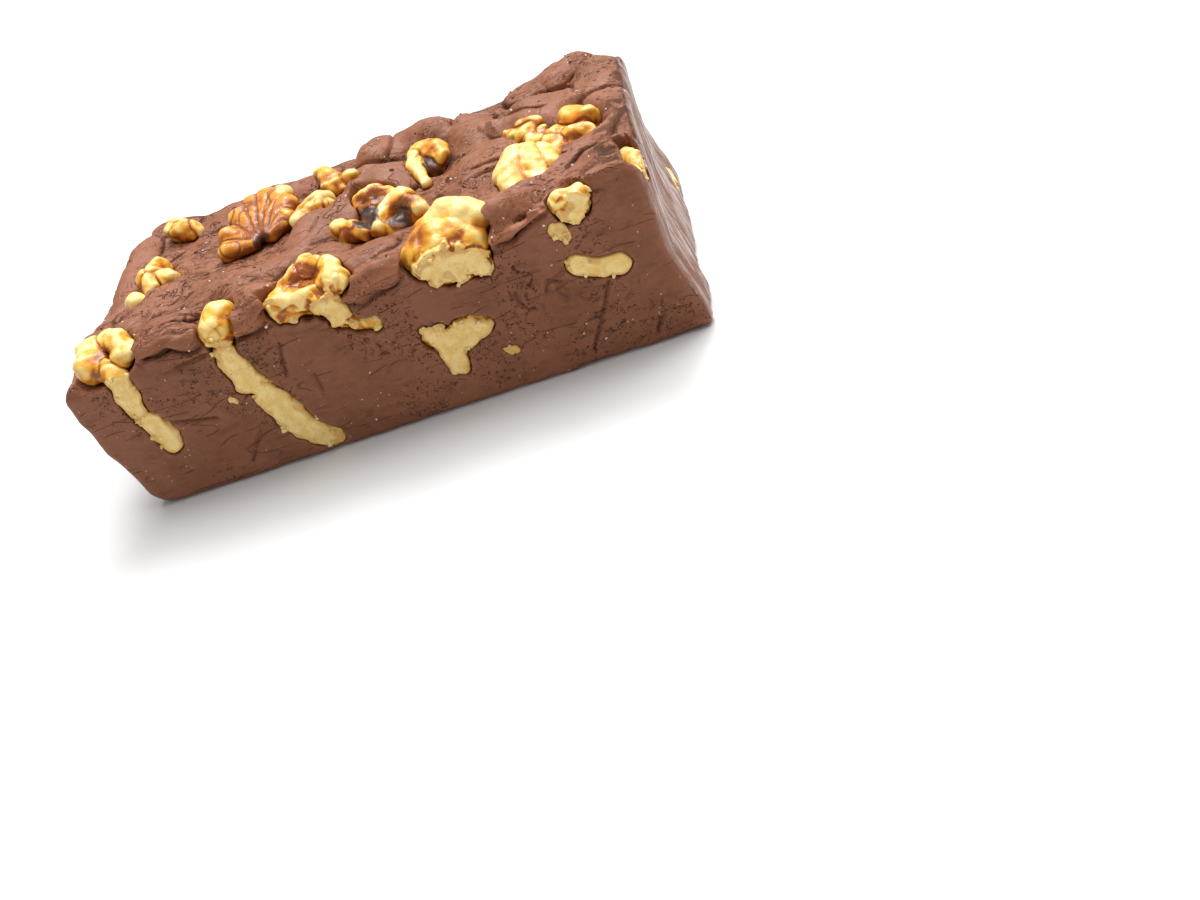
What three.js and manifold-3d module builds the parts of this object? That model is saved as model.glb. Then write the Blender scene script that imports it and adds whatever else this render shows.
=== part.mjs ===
// A one-pound bar of chocolate walnut fudge: a block cut from a hand-folded slab, with the walnut
// pieces that show on its top, its two long cut faces and its cut end.
//
// Everything is laid out in bar coordinates, in millimetres: x runs from the moulded left end to the
// cut right end, y from the front cut face to the back one, and z up from the underside. The group
// is then centred, so that the origin is the middle of the underside.
import * as THREE from "three";
import { mergeVertices } from "three/addons/utils/BufferGeometryUtils.js";
import Module from "manifold-3d";

// ---- Driving dimensions ------------------------------------------------------------------------
const LENGTH = 131.8; // along the top, from the moulded end to the cut end
const END_FLARE = 3.8; // how much further the cut end reaches at its foot than at its top
const FLARE_HEIGHT = 22; // the cut end is upright above this height
const PAN_DRAFT = 3.6; // how far the moulded end leans in at its foot
const DRAFT_HEIGHT = 27; // the moulded end is upright above this height
const END_SKEW = 1.8; // how much further right the moulded end lies at the back than at the front
const END_TURN = 0.6; // how much further right the cut end lies at the back than at the front
const WIDTH = 69; // front to back at the moulded end
const WIDTH_GAIN = 2.5; // extra width at the cut end
const EDGE_RADIUS = 4.5; // rounding along the top and foot of the moulded end
const VALLEY = 33.8; // height of the top between its folds
const COLUMNS = 34; // faces of the block along its length,
const ROWS = 19; // across its width
const LAYERS = 5; // and up its height
const SIDES = 7; // faces round a walnut finger,
const RINGS = 2; // along it
const CAP_RINGS = 2; // and over each of its ends
const KNOB = 0.12; // height of the ridges on a walnut, as a share of its radius
const KNOBS = 3; // ridges round a walnut finger
const POCKET_GAP = 0.3; // space between a walnut and the fudge that holds it
const FLATNESS = 0.03; // faces flatter than this are merged
const WELD = 1e-4; // points closer than this are one point
const COLUMN_CROWDING = 0.35; // how much closer the block's columns are at its moulded end, 0 to 1
const SPARE = 20; // how far the space between the cuts reaches past the top and the moulded end
const MIDDLE_X = 67.7; // bar coordinates of the point under which the origin lies
const MIDDLE_Y = 35.6;

// ---- Folds of the top --------------------------------------------------------------------------
// Each is a low mound: [x, y, half length, half width, turn in degrees, crest height].
const FOLDS = [
  [116, 62, 14, 8, 3, 40.4],
  [111, 51, 14, 8, -8, 39.4],
  [126, 48, 7, 18, 4, 38.8],
  [120, 19, 13, 6, 50, 39.0],
  [106, 5, 11, 5, 35, 38.6],
  [95, 49, 7, 14, 2, 38.6],
  [97, 32, 9, 8, -30, 38.0],
  [96, 16, 13, 6, -50, 38.2],
  [86, 61, 10, 8, 0, 39.0],
  [72, 43, 10, 12, -20, 38.6],
  [70, 59, 8, 7, 10, 37.8],
  [57, 31, 18, 9, 35, 38.4],
  [29, 23, 17, 13, 18, 37.6],
  [25, 6, 16, 7, -4, 36.8],
  [17, 47, 11, 9, 15, 37.0],
  [31, 50, 9, 13, 0, 37.2],
  [6, 38, 6, 26, 2, 36.8],
  [48, 2, 8, 7, 10, 38.2],
  [47, 11, 7, 7, 0, 37.4],
  [75, 2, 9.5, 8, 4, 39.0],
  [74, 12, 13, 7, 0, 38.0],
  [38, 63, 20, 7, 2, 37.0],
  [126, 8, 8, 11, 0, 38.4],
];

// ---- Walnut pieces -----------------------------------------------------------------------------
// A piece is a few strokes. A stroke is a knobbly finger from one point to another that bends
// towards `via`, with a radius at each end; `deep` stretches it from front to back.
const stroke = (from, via, to, first, last, deep = 1) => ({ from, via, to, first, last, deep });
const middle = (p, q) => p.map((value, i) => (value + q[i]) / 2);
const lump = (from, to, first, last, deep) => stroke(from, middle(from, to), to, first, last, deep);

// Half a kernel lying on its back: fingers that spread like a fan from a hub, from just past the
// far side of `across`, round by `up`, to `across` itself.
const FAN_SPREAD = 1.1 * Math.PI;
function fan(hub, across, up, fingers, first, last) {
  return Array.from({ length: fingers }, (_, i) => {
    const angle = FAN_SPREAD * (1 - i / (fingers - 1));
    const tip = new THREE.Vector3(...hub)
      .addScaledVector(across, Math.cos(angle))
      .addScaledVector(up, Math.sin(angle));
    return lump(hub, tip.toArray(), first, last);
  });
}

const WALNUTS = {
  walnut_front_corner: [
    lump([7.8, 9.2, 36.6], [9.2, 4.4, 36], 3.8, 3.7),
    stroke([11.6, 10.4, 37.2], [15.6, 9.4, 38.2], [16.8, 3.6, 36.4], 3.1, 2.8),
    stroke([14, 1, 34], [14.6, 1, 23], [16.2, 1, 14.6], 3.3, 2.5, 2.4),
  ],
  walnut_front_strip: [
    lump([39.6, 4.6, 37], [38.8, 2.6, 35], 3.9, 3.9),
    stroke([37.8, 0, 34], [38.6, 0, 26], [42, 0, 20], 2.3, 3, 2.6),
    stroke([42.4, 0, 19], [43, 0, 11], [49.4, 0, 4.2], 3.7, 2.3, 2.2),
  ],
  walnut_front_open: [
    stroke([52.4, 5, 37.4], [54.6, 11, 38.6], [60.4, 9.6, 38.6], 2.6, 3),
    stroke([60.4, 9.6, 38.6], [65.6, 8.6, 38.6], [67.2, 3, 36.6], 3, 2.6),
    stroke([54, 1.4, 36.4], [58, 3.4, 34.6], [62.2, 1, 33.6], 2.6, 3.2),
    stroke([62.2, 1, 33.6], [64, 1, 29.4], [68, 0.6, 26.4], 3, 1.8, 1.5),
  ],
  walnut_front_big: [
    stroke([90.2, 13, 38.6], [86, 10.4, 39.2], [82.6, 5, 37], 2.9, 2.9),
    lump([91.4, 10, 38.8], [97.4, 7.2, 38.4], 3.6, 3.2),
    lump([88, 6, 36.6], [94, 4.4, 36.4], 3.8, 3.8),
    stroke([85.8, 1.4, 34.6], [90, 1.6, 33.8], [94, 1, 31], 3.6, 3.2, 1.6),
  ],
  walnut_front_square: [lump([115.8, 3, 38], [118.2, 1.6, 35.8], 3.1, 3.2, 1.3)],
  walnut_front_grey: [lump([112.6, 0.6, 32.4], [114, 0.6, 30.8], 1.9, 1.7)],
  walnut_front_bean: [lump([114, 0, 24.4], [121, 0, 20.2], 2.4, 2.5, 2)],
  walnut_front_wedge: [
    stroke([81, 0, 19.2], [81.2, 0, 15], [82.8, 0, 10.4], 2.9, 1.9, 2.2),
    stroke([81, 0, 19.4], [85, 0, 18.8], [92, 0, 17.8], 2.4, 1.2, 2.2),
    lump([82, 0, 17.2], [86.4, 0, 16], 2.8, 1.9, 2),
  ],
  walnut_front_crumb: [lump([93.4, 0.2, 9.8], [94.8, 0.2, 9.8], 1.3, 1.1)],
  walnut_front_fleck: [lump([34.4, 0.2, 20], [35, 0.2, 19], 1.1, 0.9)],
  walnut_top_back_left: [lump([17.8, 60, 38.2], [20.8, 56.6, 37.6], 3.4, 3.2)],
  walnut_top_left: [lump([15, 36.6, 37.4], [17.4, 32.2, 37.6], 3.6, 3.3)],
  walnut_top_pea: [lump([12, 26.8, 36.4], [13, 25.8, 36], 2.2, 2.3)],
  walnut_top_half: fan(
    [42.4, 37.6, 37.6],
    new THREE.Vector3(7.6, 1, 0.4),
    new THREE.Vector3(0.6, 11.6, 2.8),
    7,
    1.9,
    2.7,
  ),
  walnut_top_slice: [lump([55.6, 34.6, 37.4], [59.6, 42.6, 39], 2.4, 2.9)],
  walnut_top_back_mid: [lump([59, 56, 39], [63.2, 50.6, 38.4], 3.4, 3.1)],
  walnut_top_dark: [
    stroke([70, 31.8, 36.4], [72.8, 32.8, 37.8], [76.8, 31.4, 37.2], 2.2, 2.2),
    stroke([65.4, 25.4, 36.4], [68.4, 25.4, 37.2], [72.2, 20.8, 36.2], 2.5, 2.2),
    stroke([76.6, 18, 36.2], [76.2, 25, 38.6], [83, 25, 37.4], 2.2, 2.5),
    stroke([71, 29.4, 35], [71.4, 23.6, 34.6], [79, 23, 35.2], 3.6, 3.4),
  ],
  walnut_top_ring: [
    stroke([88.4, 44.6, 38.8], [88.4, 51, 41], [81.8, 48, 39.8], 2.6, 2.4),
    stroke([81.8, 48, 39.8], [80.2, 43, 38.4], [83.6, 38.4, 36.2], 2.3, 1.7),
  ],
  walnut_top_cluster: [
    stroke([103.8, 40.2, 38], [107, 39, 39.6], [109.6, 37.6, 39], 2, 2.8),
    lump([109.6, 37, 38.6], [112.2, 30.6, 38], 2.7, 2.3),
    stroke([114.2, 35.4, 38.6], [116, 31, 39.4], [116.4, 25, 37], 2.5, 2.3),
    lump([116.4, 29.4, 38], [120.8, 27.8, 37.8], 2.4, 1.9),
    lump([118.2, 36.4, 39], [122.4, 33.6, 39.2], 2.9, 3.1),
  ],
  walnut_top_yellow: [
    lump([106.8, 22.2, 39.6], [105.8, 15.8, 37.2], 4, 2.9),
    lump([108.4, 20.4, 39.2], [110.6, 15.4, 37], 3.6, 2.8),
    lump([113, 21.4, 38.8], [113.8, 18, 37.6], 2.3, 2.3),
  ],
  walnut_end_top: [stroke([128.8, 17, 36], [130.8, 12, 36], [131.2, 6, 34.6], 2.2, 2.1)],
  walnut_end_low: [lump([135, 57.4, 7], [135, 62.6, 5.6], 2.8, 3)],
  walnut_back_1: [stroke([22, 70, 30], [26, 70, 24], [29, 70, 16], 2.8, 2.3, 2.2)],
  walnut_back_2: [stroke([52, 70.4, 12], [57, 70.4, 13.4], [63, 70.4, 11], 2.6, 2.4, 2)],
  walnut_back_3: [stroke([84, 70.8, 26], [89, 70.8, 24.6], [96, 70.8, 28], 3, 2.4, 2.2)],
  walnut_back_4: [stroke([113, 71, 9], [115.6, 71, 13.6], [117, 71, 19], 2.2, 2.8, 2)],
};

// ---- Solids ------------------------------------------------------------------------------------
const wasm = await Module();
wasm.setup();

// A closed three.js geometry as a solid that can be joined and cut.
function solidOf(geometry) {
  const bare = new THREE.BufferGeometry().setAttribute("position", geometry.getAttribute("position"));
  if (geometry.index) bare.setIndex(geometry.index);
  const merged = mergeVertices(bare, WELD);
  return new wasm.Manifold(
    new wasm.Mesh({
      numProp: 3,
      vertProperties: new Float32Array(merged.getAttribute("position").array),
      triVerts: new Uint32Array(merged.index.array),
    }),
  );
}

// The solid's surface as a three.js geometry.
function geometryOf(solid) {
  const { numProp, numVert, vertProperties, triVerts } = solid.getMesh();
  const positions = new Float32Array(numVert * 3);
  for (let i = 0; i < numVert; i++) {
    positions.set(vertProperties.subarray(i * numProp, i * numProp + 3), i * 3);
  }
  const geometry = new THREE.BufferGeometry();
  geometry.setAttribute("position", new THREE.BufferAttribute(positions, 3));
  geometry.setIndex(new THREE.BufferAttribute(new Uint32Array(triVerts), 1));
  geometry.computeVertexNormals();
  return geometry;
}

const largest = (solid) =>
  solid.decompose().reduce((most, piece) => (piece.volume() > most.volume() ? piece : most));

// ---- The fudge ---------------------------------------------------------------------------------
const { lerp, smoothstep } = THREE.MathUtils;

// Height of the top at a point: the highest of the folds that cover it.
function topHeight(x, y) {
  let height = VALLEY;
  for (const [cx, cy, halfLength, halfWidth, turn, crest] of FOLDS) {
    const offset = new THREE.Vector2(x - cx, y - cy).rotateAround(
      new THREE.Vector2(),
      THREE.MathUtils.degToRad(-turn),
    );
    const d2 = (offset.x / halfLength) ** 2 + (offset.y / halfWidth) ** 2;
    if (d2 < 1) height = Math.max(height, VALLEY + (crest - VALLEY) * Math.sqrt(1 - d2));
  }
  return height;
}

const leftEnd = (y, z) =>
  PAN_DRAFT * (1 - smoothstep(z, EDGE_RADIUS, DRAFT_HEIGHT)) + (END_SKEW * y) / WIDTH;
const rightEnd = (y, z) =>
  LENGTH + END_FLARE * (1 - smoothstep(z, 0, FLARE_HEIGHT)) + (END_TURN * y) / WIDTH;
const backFace = (x) => WIDTH + (WIDTH_GAIN * x) / LENGTH;

// Shares of the length and height, closer together where the moulded end is rounded.
const columnAt = (u) => lerp(u, 1 - Math.cos((u * Math.PI) / 2), COLUMN_CROWDING);
const layerAt = (w) => 0.5 - 0.5 * Math.cos(w * Math.PI);

// Moves a point of the block's upright section onto the rounded edges of the moulded end.
function roundEnd(x, z, height) {
  const inner = new THREE.Vector2(
    Math.max(x, EDGE_RADIUS),
    THREE.MathUtils.clamp(z, EDGE_RADIUS, height - EDGE_RADIUS),
  );
  const out = new THREE.Vector2(x, z).sub(inner);
  if (out.x === 0 || out.y === 0) return [x, z];
  return inner.add(out.setLength(EDGE_RADIUS)).toArray();
}

function fudgeBlock() {
  const geometry = new THREE.BoxGeometry(1, 1, 1, COLUMNS, ROWS, LAYERS).translate(0.5, 0.5, 0.5);
  const points = geometry.getAttribute("position");
  for (let i = 0; i < points.count; i++) {
    const along = columnAt(points.getX(i)) * LENGTH;
    const across = points.getY(i);
    const height = topHeight(along, across * WIDTH);
    const [x, z] = roundEnd(along, layerAt(points.getZ(i)) * height, height);
    const y = across * backFace(x);
    points.setXYZ(i, lerp(leftEnd(y, z), rightEnd(y, z), x / LENGTH), y, z);
  }
  return solidOf(geometry);
}

// ---- The walnuts -------------------------------------------------------------------------------
// A stroke's skin: a capsule bent along the stroke's curve, with low ridges running round it.
function strokeSolid({ from, via, to, first, last, deep }, grow) {
  const ends = [from, via, to].map((p) => new THREE.Vector3(...p));
  const curve = new THREE.QuadraticBezierCurve3(...ends);
  const { tangents, normals, binormals } = curve.computeFrenetFrames(RINGS);
  const geometry = new THREE.CapsuleGeometry(1, 1, CAP_RINGS, SIDES, RINGS);
  const points = geometry.getAttribute("position");
  for (let i = 0; i < points.count; i++) {
    const [across, along, over] = [points.getX(i), points.getY(i) + 0.5, points.getZ(i)];
    const share = THREE.MathUtils.clamp(along, 0, 1);
    const ring = Math.round(share * RINGS);
    const knob = 1 + KNOB * Math.sin(KNOBS * Math.atan2(over, across) + ring);
    const offset = new THREE.Vector3()
      .addScaledVector(tangents[ring], along - share)
      .addScaledVector(binormals[ring], across * knob)
      .addScaledVector(normals[ring], over * knob)
      .multiplyScalar(lerp(first, last, share) + grow);
    offset.y *= deep;
    points.setXYZ(i, ...curve.getPointAt(share).add(offset));
  }
  return solidOf(geometry);
}

const walnut = (strokes, grow = 0) =>
  strokes.map((s) => strokeSolid(s, grow)).reduce((sum, next) => sum.add(next));

// The space between the bar's cut faces, which were made with one knife through nut and fudge.
function betweenCuts() {
  const geometry = new THREE.BoxGeometry(1, 1, 1, 1, 1, LAYERS).translate(0.5, 0.5, 0.5);
  const points = geometry.getAttribute("position");
  for (let i = 0; i < points.count; i++) {
    const z = layerAt(points.getZ(i)) * (VALLEY + SPARE);
    const right = points.getX(i) > 0;
    const x = right ? LENGTH : -SPARE;
    const y = points.getY(i) * backFace(x);
    points.setXYZ(i, right ? rightEnd(y, z) : x, y, z);
  }
  return solidOf(geometry);
}

// ---- The object --------------------------------------------------------------------------------
const chocolate = new THREE.MeshStandardMaterial({ color: 0x8a5744, roughness: 0.5, metalness: 0 });
const kernel = new THREE.MeshStandardMaterial({ color: 0xd9a24e, roughness: 0.45, metalness: 0 });

const bar = new THREE.Group();
bar.name = "walnut_fudge_bar";
bar.position.set(-MIDDLE_X, -MIDDLE_Y, 0);

function add(name, solid, material) {
  const mesh = new THREE.Mesh(geometryOf(solid), material);
  mesh.name = name;
  bar.add(mesh);
}

const room = betweenCuts();
let fudge = fudgeBlock();
for (const [name, strokes] of Object.entries(WALNUTS)) {
  add(name, largest(walnut(strokes).intersect(room).simplify(FLATNESS)), kernel);
  fudge = fudge.subtract(walnut(strokes, POCKET_GAP));
}
add("fudge", largest(fudge.simplify(FLATNESS)), chocolate);

export default bar;
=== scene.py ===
"""Looks of the chocolate walnut fudge bar: folded top, cut faces, walnut kernels, light and camera."""
import math

import bpy
import numpy as np
import openvdb
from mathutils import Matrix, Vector


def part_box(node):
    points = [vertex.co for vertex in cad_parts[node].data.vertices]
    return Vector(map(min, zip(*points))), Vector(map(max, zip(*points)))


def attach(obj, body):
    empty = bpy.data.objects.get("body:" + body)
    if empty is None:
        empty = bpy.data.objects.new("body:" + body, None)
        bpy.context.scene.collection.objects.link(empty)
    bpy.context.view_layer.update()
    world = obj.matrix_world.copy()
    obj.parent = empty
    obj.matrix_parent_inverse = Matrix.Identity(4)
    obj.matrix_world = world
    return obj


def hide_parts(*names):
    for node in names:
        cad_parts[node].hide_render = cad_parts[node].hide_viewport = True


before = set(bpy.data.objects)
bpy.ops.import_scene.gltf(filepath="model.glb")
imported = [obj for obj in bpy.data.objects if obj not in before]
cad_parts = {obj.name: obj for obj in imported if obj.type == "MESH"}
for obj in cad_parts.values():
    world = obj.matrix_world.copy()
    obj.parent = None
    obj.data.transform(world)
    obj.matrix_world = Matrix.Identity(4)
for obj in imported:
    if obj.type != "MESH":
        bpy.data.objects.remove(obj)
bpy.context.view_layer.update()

MM = 0.001
STEP = 0.42  # mm between the fudge's grid points; a walnut's are twice as close
FINE = STEP / 2

# Lengths below are in millimetres from the low corner of the fudge's box: x along the bar from its
# moulded end, y from the front cut face to the back one, z up.
CORNER = np.array(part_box("fudge")[0]) / MM
SPAN = np.array(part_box("fudge")[1]) / MM - CORNER
END_FLARE = 3.8  # the cut end's foot stands out this far
WIDTH_GAIN = 2.5  # the bar is this much wider at its cut end
PAN_DRAFT = 3.6  # the moulded end's foot lies in this far
END_SKEW = 1.8  # from front to back, the moulded end moves along the bar by this much
END_TURN = 0.6  # and the cut end by this much
LENGTH = SPAN[0] - END_FLARE
WIDTH = SPAN[1] - WIDTH_GAIN
VALLEY = 35.8  # height of the top between its folds
FOLD_DEPTH = 9.0  # the folds are worked out down to this far below it
FOLD_BLEND = 2.8  # how far round the line where two folds meet they run together
ROLL_BLEND = 2.0
CUT_EDGE = 2.2  # reach of the rounding where the top runs into the front and back cut faces
END_EDGE = 1.6  # the same at the cut end
FOOT_EDGE = 5  # the same where the moulded end meets the underside
PAN_EDGE = 6  # and where it meets the top
SEAT_GAP = 0.03  # between a kernel and the fudge round it
OPEN_GAP = 0.08  # between a kernel and the fudge over it, where it shows

# Each fold: x, y, half length, half width, turn in degrees, crest height, thickness, wrinkles 0-1
FOLDS = [
    (7.0, 40, 27, 5.5, 91, 37.0, 5, 0.35),
    (8, 14, 13, 6, 80, 36.4, 5, 0.7),
    (14, 66, 10, 6, 10, 36.8, 5, 0.6),
    (18, 48, 8, 5, 15, 37.2, 4, 1.0),
    (26, 60, 8, 6, 70, 37.8, 5, 0.6),
    (27, 47, 8, 5, -55, 37.2, 4, 0.8),
    (21, 39, 8, 4.5, 20, 36.8, 4, 1.0),
    (33, 38, 5, 4, 10, 36.6, 4, 0.7),
    (21, 26, 13, 9, 48, 38.2, 6, 1.0),
    (33, 20, 12, 9, 75, 37.8, 6, 0.9),
    (27, 12, 14, 7, 8, 37.4, 5, 1.0),
    (26, 4, 13, 5, -3, 37.0, 5, 1.0),
    (43, 14, 8, 7, 60, 37.6, 5, 0.9),
    (49, 21, 14, 7, 34, 38.2, 6, 0.3),
    (58, 31, 13, 8, 52, 38.8, 6, 0.1),
    (36, 65, 14, 6, 2, 38.4, 5, 0.5),
    (52, 64, 9, 7, 10, 38.2, 5, 0.4),
    (66, 54, 8, 6, 30, 37.4, 5, 0.3),
    (73, 43, 10.5, 12.5, -15, 39.3, 8, 0.1),
    (70, 64, 7, 7, 15, 38.6, 6, 0.3),
    (81, 63, 11, 8, 5, 39.8, 7, 0.3),
    (95, 55, 8, 14, 2, 39.4, 7, 0.25),
    (97, 37, 12, 7, 35, 38.9, 6, 0.35),
    (92, 29, 9, 5.5, -25, 38.3, 5, 0.7),
    (97, 21, 12, 8, -48, 38.4, 6, 0.6),
    (117, 66, 15, 8, 2, 40.3, 7, 0.3),
    (114, 54, 14, 8, -6, 39.6, 7, 0.2),
    (127, 58, 7, 14, 4, 40.0, 6, 0.4),
    (127.4, 36, 6, 18, 3, 38.8, 6, 0.4),
    (125, 9, 9, 9, 20, 38.2, 6, 0.4),
    (72, 11, 14, 7, 8, 38.0, 5, 0.25),
    (62, 17, 8, 6, 60, 37.4, 4.5, 0.4),
    (48, 7, 7, 6, 10, 37.6, 5, 0.6),
]

# Smooth rolls laid over the folds, as chains of x, y, z and radius
ROLLS = [
    [
        (98.4, 1.6, 35.0, 2.2),
        (102, 2.2, 35.6, 2.9),
        (107, 5.0, 35.4, 3.3),
        (114, 10.0, 35.2, 3.6),
        (122, 19.0, 35.6, 3.7),
        (128, 27, 35.8, 3.0),
    ],
    [(53, 19, 34.6, 3.0), (60, 29, 35.2, 4.0), (68, 39, 36.0, 4.4)],
    [(100, 50, 35.6, 4.0), (112, 47, 36.0, 4.4), (124, 45, 35.8, 4.0)],
]

# Flaps of the folds that hang over the front cut face, as chains of x, y, z and radius
FLAPS = [
    [(23, 1.6, 36.8, 1.7), (30, 1.2, 36.6, 1.9), (35.5, 1.4, 35.6, 1.6)],
    [(41.6, 1.4, 34.2, 2.2), (45.0, 1.0, 35.4, 2.6), (50.0, 1.6, 37.0, 2.2)],
    [(70.4, 1.2, 33.4, 2.3), (74.0, 0.9, 35.2, 2.7), (80.0, 1.4, 36.8, 2.5)],
    [(98.8, 1.4, 35.0, 2.3), (102.5, 1.6, 35.6, 2.4)],
]

# Where the folds end over the front cut face: x, z of the crease, and how far the fold overhangs
FRONT_EDGE = [
    (0, 33.0, 0.2),
    (14, 34.5, 0.3),
    (24, 36.0, 0.8),
    (35, 34.8, 0.5),
    (41, 32.6, 1.4),
    (47, 34.4, 1.7),
    (53, 35.6, 0.6),
    (68, 32.4, 1.0),
    (73, 34.6, 1.8),
    (83, 35.8, 1.2),
    (90, 35.0, 0.3),
    (97.5, 34.0, 1.5),
    (107, 35.4, 1.8),
    (114, 36.2, 0.8),
    (120, 34.8, 0.2),
    (136, 34.0, 0.1),
]

# Scores left by the knife in the front cut face, as lines from x, z to x, z
SCORES = [
    (23, 31, 35, 32),
    (21, 34, 21, 27),
    (18.5, 20, 29, 17),
    (36.5, 12.5, 30.5, 4),
    (53, 19.5, 52.5, 14),
    (50, 29, 47.5, 21.5),
    (118.5, 18, 110.5, 3.5),
    (128.5, 12, 125, 3),
]

# Torn patches of the front cut face, full of small cracks: x, z and radius
TORN = [(105.0, 25.0, 9.0), (91, 9, 5), (70, 22, 6)]

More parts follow.
